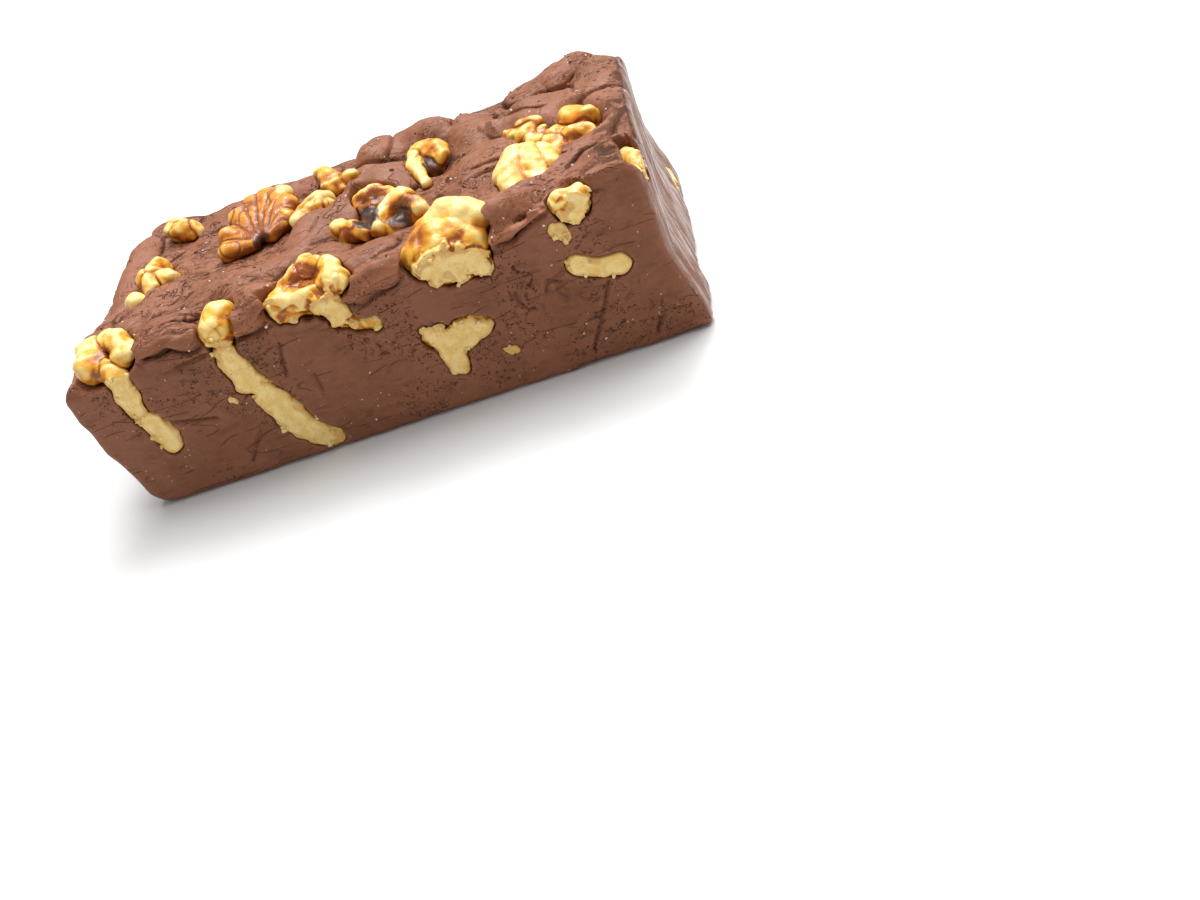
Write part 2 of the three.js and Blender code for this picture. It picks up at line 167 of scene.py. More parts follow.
# Kernels as chains of lobes, each lobe x, y, z and radius; one that isn't listed keeps its solid's shape
LOBES = {
    "walnut_front_corner": [
        [(7.4, 10.4, 36.4, 3.4), (9.0, 5.0, 35.6, 3.8)],
        [(11.8, 11.4, 37.0, 2.9), (15.6, 8.6, 37.4, 3.0), (17.4, 4.0, 36.2, 2.6)],
        [(13.6, 2.6, 33.8, 2.3)],
        [(13.8, 1.2, 32.8, 3.0), (14.1, 1.2, 28.6, 3.2), (14.3, 1.2, 25.2, 2.6)],
        [(15.1, 1.2, 21.4, 3.0), (16.1, 1.2, 17.2, 2.9), (16.0, 1.2, 13.6, 2.1)],
    ],
    "walnut_front_strip": [
        [(39.8, 4.4, 37.2, 3.7), (38.8, 2.4, 35.8, 3.8)],
        [(38.0, 1.2, 30.6, 2.3), (38.7, 1.2, 26.4, 3.0), (39.4, 1.2, 22.8, 3.3)],
        [(41.8, 1.2, 20.2, 2.1), (41.8, 1.2, 16.8, 3.4), (43.2, 1.2, 12.6, 3.5), (44.8, 1.2, 8.2, 3.0)],
        [(46.6, 1.2, 5.6, 2.7), (49.6, 1.0, 3.3, 2.1)],
    ],
    "walnut_front_open": [
        [(60.6, 9.6, 38.2, 3.0)],
        [(64.0, 6.6, 38.0, 2.5), (66.6, 3.4, 36.8, 2.6)],
        [(57.0, 9.0, 37.6, 2.4), (53.8, 7.6, 36.9, 2.6), (52.2, 5.0, 36.0, 2.4)],
        [(57.6, 5.6, 34.4, 3.0), (62.2, 5.0, 34.2, 2.9)],
        [(54.4, 2.4, 35.4, 2.7), (58.0, 2.0, 34.4, 3.0), (62.0, 1.8, 33.6, 3.0)],
        [(62.0, 1.4, 33.0, 3.0), (64.6, 1.2, 30.2, 2.8), (66.6, 1.2, 27.0, 2.2), (69.0, 1.0, 25.8, 1.6)],
    ],
    "walnut_front_big": [
        [(83.6, 5.0, 35.4, 3.2), (86.8, 8.6, 37.0, 3.8), (90.2, 11.0, 37.8, 3.0)],
        [(88.6, 5.0, 36.2, 4.0), (92.6, 5.6, 36.6, 3.4)],
        [(90.8, 10.4, 38.4, 3.4), (94.4, 8.6, 38.6, 3.8), (97.6, 7.0, 38.0, 3.0)],
        [(85.0, 2.4, 33.6, 3.0), (88.4, 1.8, 31.2, 3.0)],
        [(91.0, 2.2, 33.6, 3.6), (94.6, 1.6, 31.2, 3.1)],
        [(95.8, 3.4, 34.6, 2.8)],
    ],
    "walnut_front_square": [
        [(115.0, 2.4, 37.0, 2.3), (118.6, 1.8, 37.2, 2.2)],
        [(115.8, 1.4, 34.6, 2.2), (118.8, 1.2, 34.8, 2.2)],
    ],
    "walnut_front_wedge": [
        [(81.0, 1.0, 19.0, 2.9), (82.6, 1.0, 14.4, 3.0), (82.8, 1.0, 10.4, 2.3)],
        [(84.0, 1.0, 17.2, 3.0), (86.8, 1.0, 17.2, 2.6), (91.8, 1.0, 17.6, 1.6)],
        [(82.0, 1.0, 18.4, 2.9), (85.4, 1.0, 17.4, 2.8)],
    ],
    "walnut_front_bean": [[(113.6, 1.0, 23.4, 2.5), (117.4, 1.0, 21.7, 2.3), (121.6, 1.0, 20.9, 2.5)]],
    "walnut_end_top": [[(130.0, 13.6, 36.4, 1.8), (130.9, 9.6, 36.0, 2.4), (131.4, 5.6, 34.8, 1.7)]],
    "walnut_end_low": [[(134.2, 57.0, 7.4, 2.5), (134.4, 59.6, 6.6, 2.9), (134.6, 62.8, 5.4, 2.3)]],
    "walnut_back_1": [[(22, 68.6, 30, 2.9), (25.4, 68.6, 24, 2.7), (28.6, 68.6, 16.6, 2.3)]],
    "walnut_back_2": [[(52, 69.2, 12, 2.7), (57, 69.2, 13.2, 2.6), (63, 69.2, 11.2, 2.2)]],
    "walnut_back_3": [[(84, 69.8, 26, 2.9), (89, 69.8, 24.8, 2.6), (95.6, 69.8, 27.6, 2.2)]],
    "walnut_back_4": [[(113, 70.3, 9.4, 2.3), (115.6, 70.3, 13.6, 2.9), (117, 70.3, 18.6, 2.1)]],
    "walnut_top_back_left": [
        [(17.2, 62.0, 37.4, 2.6)],
        [(19.2, 57.8, 37.1, 2.8)],
        [(16.2, 59.6, 37.0, 2.3)],
        [(21.6, 58.2, 36.6, 2.1)],
    ],
    "walnut_top_left": [
        [(17.2, 38.2, 37.6, 2.4), (17.4, 35.4, 37.2, 2.8)],
        [(14.2, 34.4, 37.2, 2.5)],
        [(20.4, 33.4, 37.4, 2.4)],
        [(17.0, 31.8, 37.0, 2.7)],
    ],
    "walnut_top_pea": [[(14.2, 26.4, 36.9, 2.5)]],
    "walnut_top_half": [
        [(41.8, 35.4, 36.8, 1.4), (35.2, 36.4, 36.8, 2.3)],
        [(41.8, 36.6, 37.0, 1.3), (35.4, 42.0, 37.6, 3.1)],
        [(42.2, 37.4, 37.2, 1.1), (36.6, 50.0, 38.0, 3.1)],
        [(43.2, 38.4, 37.4, 1.1), (39.3, 55.0, 38.4, 2.6)],
        [(44.0, 38.6, 37.4, 1.1), (42.8, 56.2, 38.8, 2.5)],
        [(45.0, 38.6, 37.4, 1.2), (47.0, 53.4, 38.8, 2.8)],
        [(45.8, 38.2, 37.2, 1.2), (49.6, 47.0, 38.4, 2.7)],
        [(46.2, 37.4, 36.9, 1.3), (49.8, 41.2, 37.6, 2.5)],
    ],
    "walnut_top_slice": [
        [(53.4, 37.2, 36.8, 2.3), (56.0, 40.6, 37.4, 3.2), (58.3, 44.4, 38.0, 2.8)],
        [(58.9, 42.4, 37.2, 2.4)],
    ],
    "walnut_top_back_mid": [
        [(57.2, 58.2, 37.9, 2.9), (60.6, 51.2, 37.4, 2.9)],
        [(63.6, 52.6, 37.2, 2.2)],
    ],
    "walnut_top_dark": [
        [(69.0, 35.6, 38.0, 1.9), (72.6, 36.0, 38.4, 2.2), (76.4, 34.0, 38.2, 1.9)],
        [(71.0, 32.6, 36.6, 2.0), (75.6, 31.0, 36.8, 2.0)],
        [(75.6, 18.4, 37.2, 2.0), (75.8, 22.0, 38.4, 2.1), (78.0, 25.4, 38.9, 2.1), (81.2, 26.0, 38.8, 2.2)],
        [(83.4, 23.4, 38.2, 2.0), (84.4, 20.6, 37.4, 1.7)],
        [(79.0, 19.6, 35.2, 2.6), (81.6, 21.6, 35.6, 2.4)],
        [(65.4, 25.0, 37.6, 2.5), (68.6, 22.4, 37.4, 2.1)],
        [(66.8, 21.6, 35.8, 1.9), (71.4, 20.4, 36.0, 1.9)],
        [(71.6, 29.6, 34.8, 3.0), (73.4, 24.4, 35.0, 3.0), (77.6, 21.0, 34.6, 2.6)],
    ],
    "walnut_top_ring": [
        [(84.0, 49.4, 39.0, 2.4), (87.2, 47.2, 39.2, 2.6), (88.2, 44.4, 38.2, 2.1)],
        [(82.6, 47.4, 38.8, 1.8), (81.6, 44.2, 38.2, 1.7), (83.0, 38.6, 37.4, 1.6), (84.2, 35.8, 36.8, 1.4)],
        [(85.6, 43.2, 35.4, 2.9)],
    ],
    "walnut_top_cluster": [
        [(103.8, 41.2, 37.4, 1.4), (106.5, 37.8, 37.8, 2.3), (109.5, 37.2, 38.2, 2.6)],
        [(108.2, 41.4, 38.8, 1.9), (111.0, 39.8, 38.8, 1.8)],
        [(111.6, 32.4, 38.0, 2.3)],
        [(113.6, 36.2, 38.8, 1.4), (113.8, 33.0, 37.2, 1.8)],
        [(116.8, 31.0, 38.6, 2.6)],
        [(115.0, 28.6, 37.4, 2.6), (116.6, 25.6, 36.4, 2.4)],
        [(119.6, 27.8, 38.0, 2.4), (122.2, 26.6, 37.8, 2.0)],
        [(119.6, 35.6, 39.0, 3.2), (122.4, 33.8, 38.6, 3.2)],
        [(109.5, 36.0, 36.6, 2.4), (115.0, 31.4, 36.4, 2.8), (120.4, 31.0, 36.4, 2.6)],
    ],
    "walnut_top_yellow": [
        [(106.0, 23.6, 39.0, 3.4), (105.0, 18.6, 38.6, 3.3), (106.0, 12.6, 36.8, 2.6)],
        [(109.6, 23.4, 39.2, 3.0), (110.0, 18.4, 38.4, 3.3), (110.8, 14.0, 36.6, 2.6)],
        [(113.2, 22.6, 38.8, 2.6), (113.8, 18.2, 37.6, 2.4)],
    ],
}

# How each kernel looks: skin colour 0-1, groove depth, veins 0-1, how crumbly its cut outline is, how
# gnarled it is and how far it may stand out past the front face above the cut
LOOKS = {
    "walnut_front_corner": (0.15, 0.35, 0.4, 0.10, 0.35, 2.0),
    "walnut_front_strip": (0.06, 0.15, 0.7, 0.35, 0.15, 2.0),
    "walnut_front_open": (0.28, 0.25, 0.3, 0.60, 0.60, 1.0),
    "walnut_front_big": (0.32, 0.05, 0.2, 0.85, 0.25, 0.5),
    "walnut_front_square": (0.04, 0.15, 0.2, 1.10, 0.30, 0.3),
    "walnut_front_wedge": (0.20, 0.05, 0.1, 0.50, 0.45, 0.0),
    "walnut_front_bean": (0.10, 0.05, 0.0, 0.05, 0.14, 0.0),
    "walnut_top_back_left": (0.45, 0.30, 0.2, 0, 0.50, 0.0),
    "walnut_top_left": (0.30, 0.30, 0.2, 0, 0.45, 0.0),
    "walnut_top_pea": (0.02, 0.20, 0.0, 0, 0.20, 0.0),
    "walnut_top_half": (0.60, 0.34, 1.0, 0, 0.10, 0.0),
    "walnut_top_slice": (0.42, 0.25, 0.7, 0, 0.35, 0.0),
    "walnut_top_back_mid": (0.42, 0.30, 0.1, 0, 0.45, 0.0),
    "walnut_top_dark": (0.22, 0.10, 0.3, 0, 0.45, 0.0),
    "walnut_top_ring": (0.20, 0.20, 0.3, 0, 0.35, 0.0),
    "walnut_top_cluster": (0.42, 0.30, 0.4, 0, 0.45, 0.0),
    "walnut_top_yellow": (0.02, 0.14, 0.0, 0, 0.25, 0.0),
}
PLAIN_LOOK = (0.12, 0.05, 0.1, 0.35, 0.35, 0.0)

# Patches of colour on a kernel: kind, x, y, z, radius, strength
PATCHES = {
    "walnut_top_dark": [
        ("dark", 72.6, 27.6, 37.4, 5.2, 1.3),
        ("dark", 73.6, 22.4, 37.0, 4.0, 1.3),
        ("dark", 79.8, 20.4, 36.8, 3.6, 1.2),
        ("dark", 73.4, 33.4, 36.8, 2.4, 1.0),
        ("skin", 73, 33.0, 38.0, 5.0, 0.9),
        ("skin", 80.6, 22.6, 37.6, 4.6, 0.9),
        ("skin", 69, 21.4, 37.2, 3.4, 0.9),
        ("skin", 71, 36.6, 40, 2.6, -0.7),
        ("skin", 79, 26.6, 41, 3.4, -0.9),
        ("skin", 66, 25.6, 40, 3.0, -0.7),
    ],
    "walnut_top_ring": [
        ("dark", 85.8, 43.4, 37.6, 3.6, 1.4),
        ("skin", 87, 48.6, 40, 4.6, 0.35),
        ("skin", 82.4, 42, 39.0, 4.0, -0.5),
    ],
    "walnut_top_half": [
        ("dark", 44.0, 35.8, 37.4, 1.9, 0.8),
        ("skin", 43.6, 40, 38, 7.0, 0.35),
        ("skin", 48.6, 53.6, 41, 2.6, -0.6),
    ],
    "walnut_front_open": [
        ("skin", 60.0, 6.4, 36.8, 5.0, 1.0),
        ("skin", 67.4, 3.4, 34, 3.6, 0.9),
        ("skin", 56.6, 1.4, 36.4, 4.0, -0.5),
    ],
    "walnut_front_big": [
        ("skin", 84.6, 7.0, 37.6, 5.0, 0.4),
        ("skin", 94.6, 8.4, 41.4, 6.6, -0.9),
        ("skin", 92.4, 3.2, 37.4, 2.6, 0.7),
        ("skin", 88.6, 1.0, 32, 5.0, -0.4),
    ],
    "walnut_front_corner": [("skin", 12.6, 5.0, 37.0, 3.4, 0.6), ("skin", 13.6, 0.6, 33.6, 2.4, 0.5)],
    "walnut_front_square": [("skin", 117.4, 1.2, 35.8, 1.2, 0.9), ("skin", 120.6, 1.4, 37.4, 1.8, 0.5)],
    "walnut_front_strip": [("skin", 39.8, 1.0, 33.4, 2.0, 0.5)],
    "walnut_top_slice": [("skin", 59, 44, 40.4, 3.4, -0.7), ("skin", 57.2, 42, 39.8, 1.4, 0.7)],
    "walnut_top_yellow": [("skin", 104.6, 17.0, 35.8, 3.4, 0.35), ("skin", 107, 23, 42, 5.0, -0.3)],
    "walnut_top_cluster": [
        ("skin", 114.4, 33.6, 38.6, 3.2, 0.5),
        ("skin", 119.2, 24.6, 36.4, 4.0, 0.5),
    ],
}


# ---- Noise and grids ----
def spline_weights(coords, spacing):
    """Rows of cubic B-spline weights that spread a lattice of that spacing over the coordinates."""
    u = (coords - coords[0]) / spacing + 1
    cell = np.floor(u).astype(int)
    t = (u - cell).astype(np.float32)
    rows = np.zeros((len(coords), cell.max() + 3), np.float32)
    at = np.arange(len(coords))
    rows[at, cell - 1] = (1 - t) ** 3 / 6
    rows[at, cell] = (3 * t**3 - 6 * t**2 + 4) / 6
    rows[at, cell + 1] = (-3 * t**3 + 3 * t**2 + 3 * t + 1) / 6
    rows[at, cell + 2] = t**3 / 6
    return rows


def noise(axes, spacing, seed):
    """Smooth noise of about unit spread on a grid; spacing is one number or one for each axis."""
    spacing = np.broadcast_to(spacing, 3)
    wx, wy, wz = (spline_weights(a, s) for a, s in zip(axes, spacing))
    lattice = np.random.default_rng(seed).standard_normal((wx.shape[1], wy.shape[1], wz.shape[1]))
    field = np.tensordot(wx, lattice.astype(np.float32), (1, 0))
    field = np.tensordot(field, wy, (1, 1)).transpose(0, 2, 1)
    field = np.tensordot(field, wz, (2, 1))
    return field / 0.33


def blur(field, times):
    """The field smoothed along each axis; each time adds half a step squared of variance."""
    for axis in range(3):
        for _ in range(times):
            ends = np.concatenate([field.take([0], axis), field, field.take([-1], axis)], axis)
            n = field.shape[axis]
            parts = [ends[tuple(slice(i, i + n) if a == axis else slice(None) for a in range(3))]
                     for i in range(3)]
            field = 0.25 * parts[0] + 0.5 * parts[1] + 0.25 * parts[2]
    return field


def soft_max(a, b, reach):
    """The larger of two fields, with the edge where they meet rounded over that reach."""
    h = np.maximum(reach - np.abs(a - b), 0) / reach
    return np.maximum(a, b) + h * h * reach / 4


def ridge(value, width):
    """One where the value is zero, falling off over the width on both sides."""
    return np.exp(-((value / width) ** 2))


def sample(field, origin, step, points):
    """The field's values at points, by linear interpolation."""
    u = np.clip((points - origin) / step, 0, np.array(field.shape) - 1.001)
    cell = u.astype(int)
    t = (u - cell).astype(np.float32)
    total = np.zeros(len(points), np.float32)
    for corner in np.ndindex(2, 2, 2):
        weight = np.prod(np.where(corner, t, 1 - t), 1)
        i, j, k = (cell + corner).T
        total += weight * field[i, j, k]
    return total


def smooth_step(value, low, high):
    t = np.clip((value - low) / (high - low), 0, 1)
    return t * t * (3 - 2 * t)


# ---- Meshes from fields ----
def surface(field, origin, step):
    """Points in bar millimetres and quads of the field's zero surface."""
    grid = openvdb.FloatGrid(1.0)
    grid.copyFromArray(np.ascontiguousarray(field, np.float32))
    points, quads = grid.convertToQuads(0.0)
    return points * step + origin, quads[:, ::-1]


def mesh_object(name, points, quads, attributes, material):
    mesh = bpy.data.meshes.new(name)
    mesh.vertices.add(len(points))
    mesh.vertices.foreach_set("co", ((points + CORNER) * MM).astype(np.float32).ravel())
    mesh.loops.add(quads.size)
    mesh.loops.foreach_set("vertex_index", quads.astype(np.int32).ravel())
    mesh.polygons.add(len(quads))
    mesh.polygons.foreach_set("loop_start", np.arange(0, quads.size, 4, dtype=np.int32))
    mesh.polygons.foreach_set("use_smooth", np.ones(len(quads), bool))
    mesh.update(calc_edges=True)
    for key, values in attributes.items():
        layer = mesh.attributes.new(key, "FLOAT", "POINT")
        layer.data.foreach_set("value", values.astype(np.float32))
    mesh.materials.append(material)
    piece = bpy.data.objects.new(name, mesh)
    bpy.context.collection.objects.link(piece)
    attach(piece, "root")
    return piece


# ---- The bar's faces ----
def left_end(y, z):
    return PAN_DRAFT * (1 - smooth_step(z, 4.5, 27)) + END_SKEW * y / WIDTH


def right_end(y, z):
    return LENGTH + END_FLARE * (1 - smooth_step(z, 0, 22)) + END_TURN * y / WIDTH


def back_face(x):
    return WIDTH + WIDTH_GAIN * x / LENGTH


# ---- Walnuts ----
def node_points(name):
    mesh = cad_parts[name].data
    points = np.empty(len(mesh.vertices) * 3, np.float32)
    mesh.vertices.foreach_get("co", points)
    mesh.calc_loop_triangles()
    triangles = np.empty(len(mesh.loop_triangles) * 3, np.int32)
    mesh.loop_triangles.foreach_get("vertices", triangles)
    return points.reshape(-1, 3) / MM - CORNER, triangles.reshape(-1, 3)


def chain_distance(grid, chain):
    """Distance on the grid to a row of lobes, each joined to the next."""
    near = np.full_like(grid[0], 1e3)
    for start, stop in zip(chain, chain[1:] or chain):
        step = np.subtract(stop[:3], start[:3])
        away = [g - c for g, c in zip(grid, start)]
        t = sum(a * s for a, s in zip(away, step)) / max(float(step @ step), 1e-6)
        t = np.clip(t, 0, 1)
        d = np.sqrt(sum((a - t * s) ** 2 for a, s in zip(away, step)))
        near = np.minimum(near, d - start[3] - t * (stop[3] - start[3]))
    return near


class Walnut:
    """One kernel: lobes with grooves between them, gnarled, and flat where the bar is cut."""

    MARGIN = 2.4

    def __init__(self, name, seed):
        self.name = name
        self.seed = seed
        look = LOOKS.get(name, PLAIN_LOOK)
        self.skin, self.depth, self.veins, self.crumb, self.gnarl, self.proud = look
        points, triangles = node_points(name)
        chains = LOBES.get(name, [])
        lobes = np.array([lobe for chain in chains for lobe in chain]).reshape(-1, 4)
        reach = np.vstack([points, lobes[:, :3] - lobes[:, 3:], lobes[:, :3] + lobes[:, 3:]])
        self.low = np.floor((reach.min(0) - self.MARGIN) / STEP).astype(int) * 2
        self.high = np.ceil((reach.max(0) + self.MARGIN) / STEP).astype(int) * 2
        self.origin = self.low * FINE
        self.axes = [(np.arange(a, b + 1) * FINE).astype(np.float32)
                     for a, b in zip(self.low, self.high)]
        self.grid = np.meshgrid(*self.axes, indexing="ij")
        self.cuts = self.cut_planes(points)
        past = self.past_cut(*self.grid)
        fine = 0.05 + 0.2 * self.gnarl + 0.3 * self.crumb * smooth_step(past, -1.5, 0)
        warped = [
            c
            + self.gnarl * noise(self.axes, 3.4, seed * 7 + i)
            + fine * noise(self.axes, 1.2, seed * 9 + i)
            for i, c in enumerate(self.grid)
        ]
        if chains:
            body = self.lobed(warped, chains)
        else:
            body = self.from_solid(points, triangles)
        self.field = self.finished(body, past)

    def cut_planes(self, points):
        """The cut faces that the kernel reaches: axis, whether on its low side, and where."""
        planes = []
        if points[:, 1].min() < 0.1:
            planes.append((1, True, 0.0))
        if points[:, 1].max() > back_face(points[:, 0].mean()) - 0.4:
            planes.append((1, False, points[:, 1].max()))
        if points[:, 0].max() > LENGTH - 0.6:
            planes.append((0, False, points[:, 0].max()))
        return planes

    def past_cut(self, x, y, z):
        """How far a place is past the nearest cut face; far below zero when there is none."""
        reach = np.full(np.shape(x), -9.0, np.float32)
        for axis, low_side, _ in self.cuts:
            if axis == 0:
                reach = np.maximum(reach, x - right_end(y, z))
            elif low_side:
                reach = np.maximum(reach, -y - self.proud * smooth_step(z, 32.8, 36.0))
            else:
                reach = np.maximum(reach, y - back_face(x))
        return reach

    def lobed(self, grid, chains):
        """Joined lobes, with a groove along each line where two chains meet."""
        first = np.full(grid[0].shape, 1e3, np.float32)
        second = first.copy()
        joined = first.copy()
        for chain in chains:
            d = chain_distance(grid, chain)
            second = np.minimum(second, np.maximum(first, d))
            first = np.minimum(first, d)
            joined = -soft_max(-joined, -d, 2.2)
        self.groove = ridge(second - first, 0.4)
        return joined + self.depth * self.groove

    def from_solid(self, points, triangles):
        """The frame's solid with its facets smoothed, continued past the cut faces."""
        solid = openvdb.FloatGrid.createLevelSetFromPolygons(
            (points / FINE).astype(np.float32), triangles=triangles.astype(np.uint32), halfWidth=12
        )
        field = np.zeros(tuple(self.high - self.low + 1), np.float32)
        solid.copyToArray(field, ijk=tuple(int(v) for v in self.low))
        for axis, low_side, at in self.cuts:
            field = np.moveaxis(field, axis, 0)
            centre = int(round(at / FINE)) - self.low[axis]
            if low_side:
                field[:centre] = field[centre + 1 : 2 * centre + 1][::-1]
            else:
                rest = len(field) - centre - 1
                field[centre + 1 :] = field[centre - rest : centre][::-1]
            field = np.moveaxis(field, 0, axis)
        self.groove = np.zeros_like(field)
        return blur(field * FINE, 5)

    def finished(self, body, past):
        """Wrinkles, shallow dents and the flat cuts."""
        free = smooth_step(-past, 0.0, 2.0)
        swirl = noise(self.axes, 2.6, self.seed + 80)
        vein = ridge(noise(self.axes, 4.0, self.seed + 33), 0.13)
        body = body + free * (0.28 * self.gnarl * swirl + 0.16 * self.veins * vein)
        body += 0.10 * self.gnarl * noise(self.axes, 0.9, self.seed + 90)
        body += self.crumb * smooth_step(past, -3.0, -0.4) * self.chips()
        self.crease = blur(body, 5) - body
        self.swell = blur(body, 28) - body
        self.inner = body
        self.vein = self.veins * np.maximum(vein, self.groove)
        return np.maximum(body, past + 0.05 * noise(self.axes, 1.4, self.seed + 50))

    def chips(self):
        """Blocky bites and left-on bits, as a broken nut has."""
        total = 0
        for size, depth, seed in ((2.2, 0.8, 1), (1.1, 0.5, 2)):
            lumps = noise(self.axes, size, self.seed + 60 + seed)
            total = total + depth * (smooth_step(lumps, -0.2, 0.2) - 0.5)
        return total

    def patches(self, kind, points, uneven):
        """The strength of the named kind of patch at each point."""
        total = np.zeros(len(points))
        for patch, x, y, z, radius, strength in PATCHES.get(self.name, []):
            if patch == kind:
                away = np.linalg.norm(points - (x, y, z), axis=1) / radius + 0.22 * uneven
                total += strength * (1 - smooth_step(away, 0.4, 1.2))
        return total

    def build(self, material):
        points, quads = surface(self.field, self.origin, FINE)
        crease = sample(self.crease, self.origin, FINE, points)
        blotch = sample(noise(self.axes, 2.6, self.seed + 70), self.origin, FINE, points)
        mottle = sample(noise(self.axes, 1.1, self.seed + 71), self.origin, FINE, points)
        groove = sample(self.groove, self.origin, FINE, points)
        inner = sample(self.inner, self.origin, FINE, points)
        cut = smooth_step(self.past_cut(*points.T), -0.5, -0.15)
        swell = sample(self.swell, self.origin, FINE, points)
        above = sample(self.field, self.origin, FINE, points + (0, 0, FINE))
        below = sample(self.field, self.origin, FINE, points - (0, 0, FINE))
        tilt = 1 - (above - below) / (2 * FINE)
        # Skin shade, 0 cream to 1 brown: the base, blotch and patch terms are the kernel's own colour; the
        # tilt term is painted light (upward faces lighter, sides and undersides darker); the swell and
        # crease terms are painted shade (darker in hollows and creases, lighter on bulges); the groove term
        # is partly veins and partly painted shade
        skin = self.skin + 0.14 * blotch + 0.34 * (tilt - 0.5)
        skin += (0.05 + 0.3 * self.veins) * groove - 1.1 * (swell - 0.2) - 2.2 * (crease - 0.04)
        skin += self.patches("skin", points, blotch)
        dark = self.patches("dark", points, blotch + 0.6 * mottle)
        attributes = {
            "skin": np.clip(skin, 0, 1) * (1 - 0.9 * cut),
            "vein": sample(self.vein, self.origin, FINE, points) * (1 - cut),
            "cut": cut,
            "edge": cut * smooth_step(inner + 0.25 * mottle, -0.8, -0.1),
            "dark": np.clip(dark, 0, 1),
        }
        self.rim = points[attributes["edge"] > 0.6]
        piece = mesh_object(self.name + "_kernel", points, quads, attributes, material)
        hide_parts(self.name)


